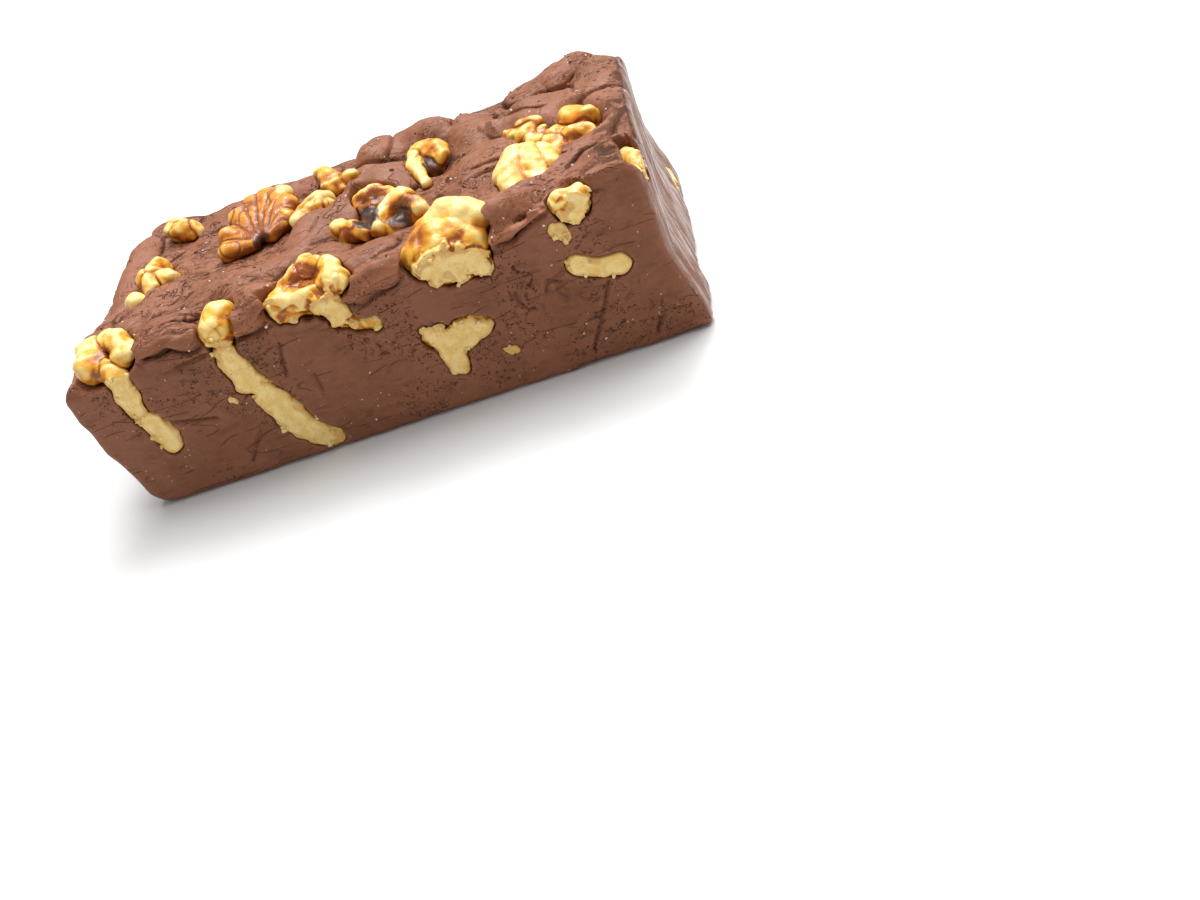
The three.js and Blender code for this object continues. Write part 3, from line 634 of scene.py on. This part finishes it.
# ---- Fudge ----
class Fudge:
    """The bar of fudge: a slab with folds over its top, flat cut faces and seats for the kernels."""

    ROOM_LOW = (-3, -3, -2)
    ROOM_HIGH = (3, 3, 4)

    def __init__(self, walnuts):
        low = np.floor(np.array(self.ROOM_LOW) / STEP).astype(int)
        high = np.ceil((SPAN + self.ROOM_HIGH) / STEP).astype(int)
        self.low = low
        self.origin = low * STEP
        self.axes = [(np.arange(a, b + 1) * STEP).astype(np.float32) for a, b in zip(low, high)]
        grid = np.meshgrid(*self.axes, indexing="ij")
        z = grid[2]
        body = z - VALLEY
        self.rough = np.full_like(body, 0.5)
        self.along = grid[0].copy()
        self.across = grid[1].copy()
        first_top = int((VALLEY - FOLD_DEPTH) / STEP) - low[2]
        top = [g[:, :, first_top:] for g in grid]
        top_axes = self.axes[:2] + [self.axes[2][first_top:]]
        folded, rough, along, across = self.folded_top(top, top_axes)
        body[:, :, first_top:] = folded
        self.rough[:, :, first_top:] = rough
        self.along[:, :, first_top:] = along
        self.across[:, :, first_top:] = across
        body = self.cut_block(body, *grid)
        body += 0.07 * noise(self.axes, 2.2, 12) + 0.035 * noise(self.axes, 1.1, 13)
        for walnut in walnuts:
            body = self.seat(body, walnut)
        self.field = np.maximum(body, -z)

    def folded_top(self, grid, axes):
        """Folds laid over a flat slab, creased where they meet and wrinkled along their length."""
        wide = [1.2 * noise(axes, 9, 20 + i) for i in range(3)]
        fine = [0.22 * noise(axes, 3.2, 30 + i) for i in range(3)]
        px, py, pz = (c + a + b for c, a, b in zip(grid, wide, fine))
        first = grid[2] - VALLEY - 0.4 * wide[0]
        second = np.full_like(first, 9)
        joined = first.copy()
        rough = np.full_like(first, 0.9)
        across = py.copy()
        along = px.copy()
        for cx, cy, long, broad, turn, crest, thick, wrinkle in FOLDS:
            c = math.cos(math.radians(turn))
            s = math.sin(math.radians(turn))
            v_mm = (py - cy) * c - (px - cx) * s
            u = ((px - cx) * c + (py - cy) * s) / long
            v = v_mm / broad
            u_mm = u * long
            w = (pz - crest + thick) / thick
            plan = np.minimum(u * u + v * v, 9)
            lift = 1.25 * plan**0.25
            k = np.sqrt(plan**1.25 + w * w)
            slope = np.sqrt((lift * u / long) ** 2 + (lift * v / broad) ** 2 + (w / thick) ** 2)
            d = k * (k - 1) / np.maximum(slope, 2e-3)
            nearer = d < first
            second = np.minimum(second, np.maximum(first, d))
            rough = np.where(nearer, wrinkle, rough)
            across = np.where(nearer, v_mm + crest * 7, across)
            along = np.where(nearer, u_mm, along)
            first = np.minimum(first, d)
            joined = -soft_max(-joined, -d, FOLD_BLEND)
        for roll in ROLLS:
            d = chain_distance((px, py, pz), roll)
            nearer = d < first
            second = np.minimum(second, np.maximum(first, d))
            rough = np.where(nearer, 0.15, rough)
            first = np.minimum(first, d)
            joined = -soft_max(-joined, -d, ROLL_BLEND)
        rough = blur(rough, 4)
        patchy = smooth_step(noise(axes, 6, 43), -0.6, 0.7)
        crease = ridge(second - first, 0.38) * (0.10 + 0.95 * patchy)
        across += 0.6 * noise(axes, 3.0, 44)
        wrinkles = ridge(np.sin(across * 1.9), 0.35) * smooth_step(noise(axes, 4, 45), -0.3, 0.7)
        cracks = ridge(noise(axes, 6, 41), 0.06)
        cracks = np.maximum(cracks, ridge(noise(axes, (4, 8, 8), 42), 0.05))
        cracks *= smooth_step(noise(axes, 5, 46), -0.2, 0.8)
        joined += 0.85 * crease + 0.22 * rough * wrinkles + 0.3 * (0.25 + rough) * cracks
        return joined, rough, along, across

    def cut_block(self, body, x, y, z):
        """The flat cut faces with the folds' edges over them, the moulded end and the underside."""
        edge_x, edge_z, overhang = np.array(FRONT_EDGE).T
        line = np.interp(x, edge_x, edge_z) + 0.5 * noise(self.axes, 2.4, 50)
        over = np.interp(x, edge_x, overhang)
        above = smooth_step(z - line, -0.3, 0.5)
        under = ridge(z - line + 0.5, 0.5) * np.minimum(over, 1.3)
        front = -y - over * above + 0.8 * under
        wander = noise(self.axes, 5, 57)
        for x1, z1, x2, z2 in SCORES:
            away = chain_distance((x + 0.5 * wander, 0, z), [(x1, 0, z1, 0), (x2, 0, z2, 0)])
            front += (0.6 + 0.25 * wander) * ridge(away, 0.4)
        cracks = ridge(noise(self.axes, 1.8, 58), 0.3) * smooth_step(noise(self.axes, 2, 59), 0, 0.7)
        for torn_x, torn_z, radius in TORN:
            away = np.hypot(x - torn_x, z - torn_z) / radius + 0.2 * wander
            front += 0.8 * cracks * (1 - smooth_step(away, 0.5, 1.1))
        back_line = 34.2 + 0.9 * noise(self.axes, 12, 51) + 0.4 * noise(self.axes, 2.4, 53)
        back_over = 0.6 + 0.3 * noise(self.axes, 10, 54)
        above = smooth_step(z - back_line, -0.35, 0.35)
        under = ridge(z - back_line + 0.45, 0.45)
        back = y - back_face(x) - back_over * above + 0.5 * under
        right = x - right_end(y, z) + 0.30 * noise(self.axes, (6, 4.5, 22), 55)
        right += 0.10 * noise(self.axes, (6, 1.6, 15), 56)
        left = left_end(y, z) - x + 0.25 * noise(self.axes, 9, 52)
        body = soft_max(body, left, PAN_EDGE)
        body = soft_max(soft_max(-z, left, FOOT_EDGE), body, 1)
        body = soft_max(body, front, CUT_EDGE)
        body = self.with_flaps(body, x, y, z)
        body = soft_max(body, back, CUT_EDGE)
        return soft_max(body, right, END_EDGE)

    def with_flaps(self, body, x, y, z):
        """Lays the flaps over the front's upper edge, with a crease under each."""
        part = (slice(None), slice(0, int(7 / STEP) - self.low[1]), slice(int(28 / STEP), None))
        px = x[part] + 0.5 * noise(self.axes, 4, 60)[part]
        pz = z[part] + 0.5 * noise(self.axes, 2.6, 61)[part]
        for flap in FLAPS:
            d = chain_distance((px, y[part], pz), flap)
            middle = np.interp(px, [lobe[0] for lobe in flap], [lobe[2] for lobe in flap])
            under = smooth_step(middle - pz, 0.2, 1.4) * (1 - smooth_step(y[part], 1, 3))
            body[part] += 0.9 * under * ridge(d - 0.3, 0.45)
            body[part] = -soft_max(-body[part], -d, 2.4 - 2.0 * under)
        return body

    def seat(self, body, walnut):
        """Presses the kernel into the fudge, and opens the fudge over what shows of it."""
        at = walnut.low // 2 - self.low
        nut = walnut.field[::2, ::2, ::2]
        low = np.maximum(at, 0)
        high = np.minimum(at + nut.shape, body.shape)
        part = tuple(slice(a, b) for a, b in zip(low, high))
        nut = nut[tuple(slice(a, b) for a, b in zip(low - at, high - at))]
        body[part] = np.maximum(body[part], SEAT_GAP - nut)
        if walnut.name.startswith("walnut_front") and walnut.name in LOBES:
            bare = np.minimum.accumulate(nut[:, ::-1], 1)[:, ::-1]
            part_front = (part[0], slice(0, high[1]), part[2])
            bare = np.pad(bare, ((0, 0), (low[1], 0), (0, 0)), "edge")
            body[part_front] = soft_max(body[part_front], OPEN_GAP - bare, 0.5)
        if walnut.axes[2][-1] - walnut.MARGIN < VALLEY:
            return body
        bare = nut.copy()
        bare[:, :, : max(int((VALLEY - 2.5) / STEP) - at[2], 0)] = 9
        bare = np.minimum.accumulate(bare, 2)
        body[part] = soft_max(body[part], OPEN_GAP - bare, 0.8)
        part_above = part[:2] + (slice(high[2], None),)
        body[part_above] = soft_max(body[part_above], OPEN_GAP - bare[:, :, -1:], 0.8)
        return body

    def build(self, material):
        points, quads = surface(self.field, self.origin, STEP)
        shape = blur(self.field, 6) - self.field
        x, y, z = points.T
        edge_x, edge_z, overhang = np.array(FRONT_EDGE).T
        line = np.interp(x, edge_x, edge_z)
        inner = np.minimum(y, back_face(x) - y)
        # The lip band just above the front edge where the folds overhang; the material paints a highlight on
        # it
        lip = ridge(z - line - 1.0, 1.5) * (1 - smooth_step(y, 0, 2))
        rim = lip * smooth_step(np.interp(x, edge_x, overhang), 0.3, 1.4)
        attributes = {
            # cavity: above zero on bulges and crests, below zero in hollows; the material paints highlight
            # and shade from it
            "cavity": sample(shape, self.origin, STEP, points),
            "wrinkle": sample(self.rough, self.origin, STEP, points) * smooth_step(z, 24.0, 34.0),
            "along": sample(self.along, self.origin, STEP, points),
            "across": sample(self.across, self.origin, STEP, points),
            "side": 1 - smooth_step(inner, 0.2, 1.4),
            "end": smooth_step(x - right_end(y, z), -1.0, -0.3),
            "rim": np.clip(rim, 0, 1),
        }
        self.skin = points
        piece = mesh_object("fudge_body", points, quads, attributes, material)
        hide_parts("fudge")


# ---- Crumbs ----
def pebble():
    """Points and quads of a rounded cube with four quads on each face."""
    points, quads = [], []
    steps = np.array([-1, 0, 1])
    for axis in range(3):
        for side in (-1, 1):
            face = np.full((3, 3, 3), side)
            face[..., (axis + 1) % 3] = steps[:, None]
            face[..., (axis + 2) % 3] = steps[None, :]
            for i, j in np.ndindex(2, 2):
                quad = [3 * i + j, 3 * i + j + 3, 3 * i + j + 4, 3 * i + j + 1]
                quads.append(np.array(quad[::side]) + 9 * (len(quads) // 4))
            points.append(face.reshape(-1, 3))
    points, index = np.unique(np.concatenate(points), axis=0, return_inverse=True)
    return points / np.linalg.norm(points, axis=1, keepdims=True), index.ravel()[np.array(quads)]


def crumbs(name, places, sizes, seed, attributes, material):
    """Many small uneven crumbs in one mesh, each at its own place."""
    rng = np.random.default_rng(seed)
    ball, quads = pebble()
    count = len(places)
    size = rng.uniform(*sizes, (count, 1, 1)) * rng.uniform(0.6, 1.3, (count, 1, 3))
    uneven = 1 + 0.22 * rng.standard_normal((count, len(ball), 1))
    points = (places[:, None] + ball * size * uneven).reshape(-1, 3)
    quads = (quads + len(ball) * np.arange(count)[:, None, None]).reshape(-1, 4)
    values = {key: np.full(len(points), value) for key, value in attributes.items()}
    mesh_object(name, points, quads, values, material)


def scattered(points, count, spread, seed):
    """That many of the points, picked at random and moved by up to the spread."""
    rng = np.random.default_rng(seed)
    return points[rng.integers(len(points), size=count)] + rng.uniform(-spread, spread, (count, 3))


# ---- Materials ----
# Colours as linear red, green and blue
FUDGE_DEEP = (0.200, 0.069, 0.029)
FUDGE_LIGHT = (0.262, 0.095, 0.046)
FUDGE_GRAIN = (0.34, 0.133, 0.068)
FUDGE_SMEAR = (0.125, 0.040, 0.018)
FUDGE_CREST_HIGHLIGHT = (0.36, 0.148, 0.078)
FUDGE_HOLLOW_SHADE = (0.085, 0.026, 0.013)
FUDGE_RIM_HIGHLIGHT = (0.44, 0.155, 0.07)
FUDGE_MARK_SHADE = (0.10, 0.032, 0.016)
FUDGE_PIT_SHADE = (0.05, 0.016, 0.010)
FUDGE_SPECK = (0.60, 0.40, 0.27)
FUDGE_DRAG_SHEEN = (0.50, 0.33, 0.27)
SKIN_CREAM = (0.89, 0.65, 0.24)
SKIN_GOLD = (0.82, 0.45, 0.055)
SKIN_AMBER = (0.66, 0.24, 0.014)
SKIN_BROWN = (0.32, 0.085, 0.011)
SKIN_VEIN = (0.20, 0.055, 0.016)
SKIN_SPECK = (0.45, 0.17, 0.03)
SKIN_DARK_BROWN = (0.20, 0.055, 0.010)
SKIN_BLACK = (0.045, 0.016, 0.008)
FLESH_PALE = (0.93, 0.69, 0.26)
FLESH_WARM = (0.84, 0.54, 0.14)
FLESH_GRAIN = (0.95, 0.82, 0.50)
FLESH_RIM = (0.60, 0.28, 0.05)
SUGAR_PALE = (0.88, 0.80, 0.68)
SUGAR_TAN = (0.72, 0.56, 0.42)


class Paint:
    """A material whose nodes are added one at a time; inputs are numbers, colours or outputs."""

    def __init__(self, name, **settings):
        self.material = bpy.data.materials.new(name)
        self.material.use_nodes = True
        self.tree = self.material.node_tree
        self.shader = self.tree.nodes["Principled BSDF"]
        self.place = self.add("ShaderNodeTexCoord").outputs["Object"]
        for key, value in settings.items():
            self.shader.inputs[key.replace("_", " ")].default_value = value

    def add(self, kind, settings=(), **inputs):
        node = self.tree.nodes.new(kind)
        for key, value in dict(settings).items():
            setattr(node, key, value)
        for key, value in inputs.items():
            self.plug(node.inputs[key.replace("_", " ")], value)
        return node

    def plug(self, socket, value):
        if isinstance(value, bpy.types.NodeSocket):
            self.tree.links.new(value, socket)
        elif isinstance(value, tuple) and socket.type == "RGBA":
            socket.default_value = (*value, 1)
        else:
            socket.default_value = value

    def set(self, name, value):
        """Gives the shader's input of that name a number, a colour or an output."""
        self.plug(self.shader.inputs[name], value)

    def attribute(self, name):
        return self.add("ShaderNodeAttribute", {"attribute_name": name}).outputs["Fac"]

    def grain(self, size, detail=3.0, rough=0.55, distortion=0.0, stretch=(1, 1, 1)):
        """Noise of that size in millimetres, stretched along the axes by the given factors."""
        scale = [1 / (size * MM * s) for s in stretch]
        scaled = self.add("ShaderNodeMapping", Vector=self.place, Scale=scale)
        node = self.add(
            "ShaderNodeTexNoise",
            Vector=scaled.outputs["Vector"],
            Scale=1.0,
            Detail=detail,
            Roughness=rough,
            Distortion=distortion,
        )
        return node.outputs["Fac"]

    def cracks(self, place, size, stretch, width):
        """Lines between the cells of a cracked skin, drawn out along the folds; the darker colour laid along
        them is painted shade.
        """
        wander = self.add("ShaderNodeTexNoise", Vector=self.place, Scale=1 / (2.2 * MM), Detail=2.0)
        shift = self.add(
            "ShaderNodeVectorMath", {"operation": "SCALE"}, Vector=wander.outputs["Color"], Scale=2.4
        )
        moved = self.add("ShaderNodeVectorMath", {"operation": "ADD"})
        self.plug(moved.inputs[0], place)
        self.plug(moved.inputs[1], shift.outputs["Vector"])
        scale = [s / size for s in stretch]
        scaled = self.add("ShaderNodeMapping", Vector=moved.outputs["Vector"], Scale=scale)
        cells = self.add(
            "ShaderNodeTexVoronoi",
            {"feature": "DISTANCE_TO_EDGE"},
            Vector=scaled.outputs["Vector"],
            Scale=1.0,
        )
        return self.range(cells.outputs["Distance"], 0.0, width, 1.0, 0.0)

    def scratches(self, size, width, turn):
        """Sparse long thin lines, turned by that many degrees in the plane of the cut faces."""
        scale = [1 / (size * MM * s) for s in (7, 1, 1)]
        turned = self.add("ShaderNodeMapping", Vector=self.place, Scale=scale)
        turned.inputs["Rotation"].default_value = [0, math.radians(turn), 0]
        lines = self.add("ShaderNodeTexNoise", Vector=turned.outputs["Vector"], Scale=1.0, Detail=1.0)
        sparse = self.range(self.grain(7 + 0.02 * turn, detail=1), 0.50, 0.62)
        return self.times(self.line(lines.outputs["Fac"], width), sparse)

    def range(self, value, low, high, start=0.0, end=1.0):
        shape = {"interpolation_type": "SMOOTHSTEP"}
        ends = {"From_Min": low, "From_Max": high, "To_Min": start, "To_Max": end}
        node = self.add("ShaderNodeMapRange", shape, Value=value, **ends)
        return node.outputs["Result"]

    def line(self, value, width):
        """One where the noise crosses its middle, zero farther away than the width."""
        offset = self.math("ABSOLUTE", self.math("SUBTRACT", value, 0.5), 0.0)
        return self.range(offset, 0.0, width, 1.0, 0.0)

    def math(self, operation, a, b):
        node = self.add("ShaderNodeMath", {"operation": operation})
        self.plug(node.inputs[0], a)
        self.plug(node.inputs[1], b)
        return node.outputs["Value"]

    def times(self, a, b):
        return self.math("MULTIPLY", a, b)

    def mix(self, amount, a, b):
        node = self.add("ShaderNodeMix", {"data_type": "RGBA"})
        self.plug(node.inputs["Factor"], amount)
        self.plug(node.inputs[6], a)
        self.plug(node.inputs[7], b)
        return node.outputs[2]

    def bump(self, height, distance, strength, below=None):
        node = self.add("ShaderNodeBump", Height=height, Distance=distance * MM, Strength=strength)
        if below:
            self.plug(node.inputs["Normal"], below)
        return node.outputs["Normal"]


def fudge_material():
    paint = Paint("fudge_surface")
    cavity = paint.attribute("cavity")
    side = paint.attribute("side")
    end = paint.attribute("end")
    wrinkle = paint.attribute("wrinkle")
    across = paint.attribute("across")
    top = paint.math("SUBTRACT", 1.0, paint.math("MAXIMUM", side, end))
    patches = paint.grain(14, detail=4)
    grain = paint.grain(1.6, detail=4, rough=0.65)
    streaks = paint.grain(3.0, detail=6, rough=0.65, stretch=(1, 1, 12))

    flow = paint.add("ShaderNodeCombineXYZ", X=paint.attribute("along"), Y=across, Z=0.0)
    leather = paint.cracks(flow.outputs["Vector"], 2.6, (0.28, 1, 1), 0.09)
    cracked = paint.cracks(flow.outputs["Vector"], 1.2, (0.35, 1, 1), 0.10)
    folds = paint.math("MAXIMUM", leather, paint.times(cracked, 0.6))
    folds = paint.times(folds, paint.times(wrinkle, top))
    folds = paint.times(folds, paint.range(paint.grain(5), 0.40, 0.58))
    creases = paint.line(paint.grain(9, detail=2, rough=0.5, distortion=0.3), 0.007)
    creases = paint.times(creases, paint.range(paint.grain(7, detail=1), 0.50, 0.64))
    creases = paint.times(creases, top)
    scratches = paint.scratches(7, 0.006, 62)
    for turn in (-52, 20):
        scratches = paint.math("MAXIMUM", scratches, paint.scratches(9, 0.005, turn))
    scratches = paint.times(scratches, paint.times(side, 0.55))
    pitted = paint.times(paint.range(paint.grain(18, detail=0), 0.46, 0.60, 0.08, 1), side)
    worms = paint.line(paint.grain(1.7, detail=2, distortion=0.6), 0.022)
    worms = paint.times(worms, paint.range(paint.grain(1.9, detail=1), 0.50, 0.60))
    pits = paint.math("MAXIMUM", paint.range(paint.grain(0.8, detail=1), 0.66, 0.74), worms)
    pits = paint.times(pits, pitted)
    smears = paint.grain(2.4, detail=4, rough=0.6, stretch=(3.5, 1, 1))
    marks = paint.math("MAXIMUM", paint.math("MAXIMUM", creases, scratches), folds)

    colour = paint.mix(paint.range(patches, 0.3, 0.7), FUDGE_DEEP, FUDGE_LIGHT)
    colour = paint.mix(paint.range(grain, 0.40, 0.75, 0, 0.35), colour, FUDGE_GRAIN)
    smeared = paint.times(paint.range(smears, 0.52, 0.75, 0, 0.5), side)
    colour = paint.mix(smeared, colour, FUDGE_SMEAR)
    # Painted highlight: the colour is lighter on the convex crests
    colour = paint.mix(paint.range(cavity, 0.03, 0.35, 0, 0.45), colour, FUDGE_CREST_HIGHLIGHT)
    # Painted shade: the colour is darker in the concave hollows and creases
    colour = paint.mix(paint.range(cavity, -0.06, -0.38, 0, 0.75), colour, FUDGE_HOLLOW_SHADE)
    # Painted highlight: a lighter orange-brown band on the lip where the folds overhang the front
    rim = paint.times(paint.attribute("rim"), 0.5)
    colour = paint.mix(rim, colour, FUDGE_RIM_HIGHLIGHT)
    # Painted shade: darker along the cracks, creases and scratches
    colour = paint.mix(paint.times(marks, 0.28), colour, FUDGE_MARK_SHADE)
    # Painted shade: near black in the small pits and worm-like holes of the cut faces
    colour = paint.mix(paint.times(pits, 0.70), colour, FUDGE_PIT_SHADE)
    speck = paint.range(paint.grain(0.55, detail=0), 0.83, 0.87)
    colour = paint.mix(speck, colour, FUDGE_SPECK)
    # Pale streaks on the cut end: pale smears of the fudge, and painted sheen for the end's glossy streaks;
    # the same mask sets the coat weight
    drag_and_sheen = paint.times(end, paint.range(streaks, 0.42, 0.62))
    colour = paint.mix(paint.times(drag_and_sheen, 0.16), colour, FUDGE_DRAG_SHEEN)
    paint.set("Base Color", colour)

    gloss = paint.range(grain, 0.3, 0.7, 0.42, 0.60)
    gloss = paint.math("SUBTRACT", gloss, paint.times(end, 0.10))
    paint.set("Roughness", gloss)
    paint.set("Coat Weight", drag_and_sheen)
    paint.set("Coat Roughness", 0.32)
    paint.set("Specular IOR Level", 0.27)

    normal = paint.bump(paint.math("MAXIMUM", marks, pits), -0.5, 1.0)
    normal = paint.bump(paint.times(streaks, end), 2.5, 1.0, normal)
    normal = paint.bump(paint.times(smears, side), 0.6, 0.7, normal)
    normal = paint.bump(paint.grain(2.6, detail=5, rough=0.6), 0.5, 0.6, normal)
    normal = paint.bump(paint.grain(0.7, detail=4, rough=0.7), 0.15, 0.6, normal)
    paint.set("Normal", normal)
    return paint.material


def walnut_material():
    paint = Paint("walnut_surface")
    skin = paint.attribute("skin")
    cut = paint.attribute("cut")
    dark = paint.attribute("dark")
    grain = paint.grain(1.5, detail=4, rough=0.6)
    fine = paint.grain(0.5, detail=3, rough=0.6)
    threads = paint.line(paint.grain(4, detail=2, distortion=0.5), 0.012)
    threads = paint.times(threads, paint.range(skin, 0.25, 0.6, 0, 0.6))
    vein = paint.math("MAXIMUM", paint.range(paint.attribute("vein"), 0.25, 0.9, 0, 0.8), threads)
    shade = paint.math("ADD", skin, paint.range(grain, 0.25, 0.75, -0.11, 0.11))
    # The skin attribute carries painted light and shade besides the skin's own colour: cream on upward and
    # bulging parts, amber to brown on the sides and in hollows
    colour = paint.mix(paint.range(shade, 0.0, 0.34), SKIN_CREAM, SKIN_GOLD)
    colour = paint.mix(paint.range(shade, 0.30, 0.66), colour, SKIN_AMBER)
    colour = paint.mix(paint.range(shade, 0.62, 1.0), colour, SKIN_BROWN)
    colour = paint.mix(paint.times(vein, 0.85), colour, SKIN_VEIN)
    flesh = paint.mix(paint.range(paint.grain(3), 0.35, 0.65), FLESH_PALE, FLESH_WARM)
    flesh = paint.mix(paint.range(fine, 0.50, 0.72, 0, 0.6), flesh, FLESH_GRAIN)
    flesh = paint.mix(paint.times(paint.attribute("edge"), 0.6), flesh, FLESH_RIM)
    colour = paint.mix(paint.times(cut, 0.95), colour, flesh)
    speck = paint.range(paint.grain(0.55, detail=1), 0.71, 0.76, 0, 0.7)
    colour = paint.mix(speck, colour, SKIN_SPECK)
    # Dark brown to near black in the dark patches, which are set in the kernels' hollows
    colour = paint.mix(paint.range(dark, 0.05, 0.45), colour, SKIN_DARK_BROWN)
    colour = paint.mix(paint.range(dark, 0.40, 0.95), colour, SKIN_BLACK)
    paint.set("Base Color", colour)
    gloss = paint.range(grain, 0.3, 0.7, 0.13, 0.34)
    gloss = paint.math("ADD", gloss, paint.times(cut, 0.16))
    gloss = paint.math("ADD", gloss, paint.times(dark, 0.12))
    paint.set("Roughness", gloss)
    paint.set("Specular IOR Level", 0.42)
    paint.set("Subsurface Weight", 0.25)
    paint.set("Subsurface Radius", (1.0, 0.45, 0.12))
    paint.set("Subsurface Scale", 1.4 * MM)
    normal = paint.bump(paint.times(vein, -1.0), 0.2, 0.6)
    normal = paint.bump(grain, 0.4, 0.45, normal)
    normal = paint.bump(fine, 0.15, 0.5, normal)
    paint.set("Normal", normal)
    return paint.material


def sugar_material():
    paint = Paint("sugar_surface")
    tint = paint.mix(paint.range(paint.grain(0.8), 0.35, 0.65), SUGAR_PALE, SUGAR_TAN)
    paint.set("Base Color", tint)
    paint.set("Roughness", paint.range(paint.grain(1.5), 0.3, 0.7, 0.35, 0.6))
    paint.set("Normal", paint.bump(paint.grain(0.3), 0.05, 0.4))
    return paint.material


def floor_material():
    paint = Paint("floor_surface", Roughness=0.55)
    tint = paint.mix(paint.grain(40, detail=2), (0.655, 0.655, 0.655), (0.675, 0.675, 0.675))
    paint.set("Base Color", tint)
    paint.set("Normal", paint.bump(paint.grain(3), 0.02, 0.2))
    return paint.material


# ---- The bar ----
names = sorted(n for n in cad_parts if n.startswith("walnut"))
walnuts = [Walnut(name, seed + 1) for seed, name in enumerate(names)]
kernel_paint = walnut_material()
for kernel in walnuts:
    kernel.build(kernel_paint)
fudge = Fudge(walnuts)
fudge_paint = fudge_material()
fudge.build(fudge_paint)

folded = fudge.skin[fudge.skin[:, 2] > VALLEY - 2]
cut_front = fudge.skin[fudge.skin[:, 1] < 0.4]
rims = np.concatenate([kernel.rim for kernel in walnuts])
on_fudge = np.concatenate([scattered(folded, 90, 0.1, 1), scattered(cut_front, 12, 0.1, 2)])
crumbs("sugar_specks", on_fudge, (0.14, 0.30), 3, {}, sugar_material())
crumbs("fudge_crumbs", scattered(folded, 110, 0.1, 4), (0.2, 0.55), 5, {}, fudge_paint)
on_rims = scattered(rims, 170, 0.35, 6)
crumbs("walnut_crumbs", on_rims, (0.15, 0.62), 7, {"cut": 1}, kernel_paint)

# ---- Floor, light and camera ----
OVERHEAD_PLACE = (0.5, 1.0, 2.6)
KEY_PLACE = (0.1, 0.9, 1.5)
CAMERA_PLACE = (0.0750, -0.2510, 0.1349)
CAMERA_TURN = (51.999, 19.185, -3.873)  # degrees

bpy.ops.mesh.primitive_plane_add(size=8)
floor = bpy.context.object
floor.name = "floor"
floor.data.materials.append(floor_material())

world = bpy.data.worlds.new("studio")
bpy.context.scene.world = world
world.use_nodes = True
world.node_tree.nodes["Background"].inputs["Color"].default_value = (1, 1, 1, 1)
world.node_tree.nodes["Background"].inputs["Strength"].default_value = 0.45


def area_light(name, location, target, size, power):
    data = bpy.data.lights.new(name, "AREA")
    data.shape = "SQUARE"
    data.size = size
    data.energy = power
    light = bpy.data.objects.new(name, data)
    light.location = location
    light.rotation_euler = (Vector(target) - Vector(location)).to_track_quat("-Z", "Y").to_euler()
    bpy.context.collection.objects.link(light)


area_light("overhead_light", OVERHEAD_PLACE, (0, 0, 0), 3.0, 142)
area_light("key_light", KEY_PLACE, (0, 0, 0), 0.5, 12)

camera_data = bpy.data.cameras.new("camera")
camera_data.sensor_width = 36
camera_data.lens = 36
camera = bpy.data.objects.new("camera", camera_data)
camera.location = CAMERA_PLACE
camera.rotation_euler = [math.radians(turn) for turn in CAMERA_TURN]
bpy.context.collection.objects.link(camera)
bpy.context.scene.camera = camera
bpy.context.scene.view_settings.view_transform = "Standard"
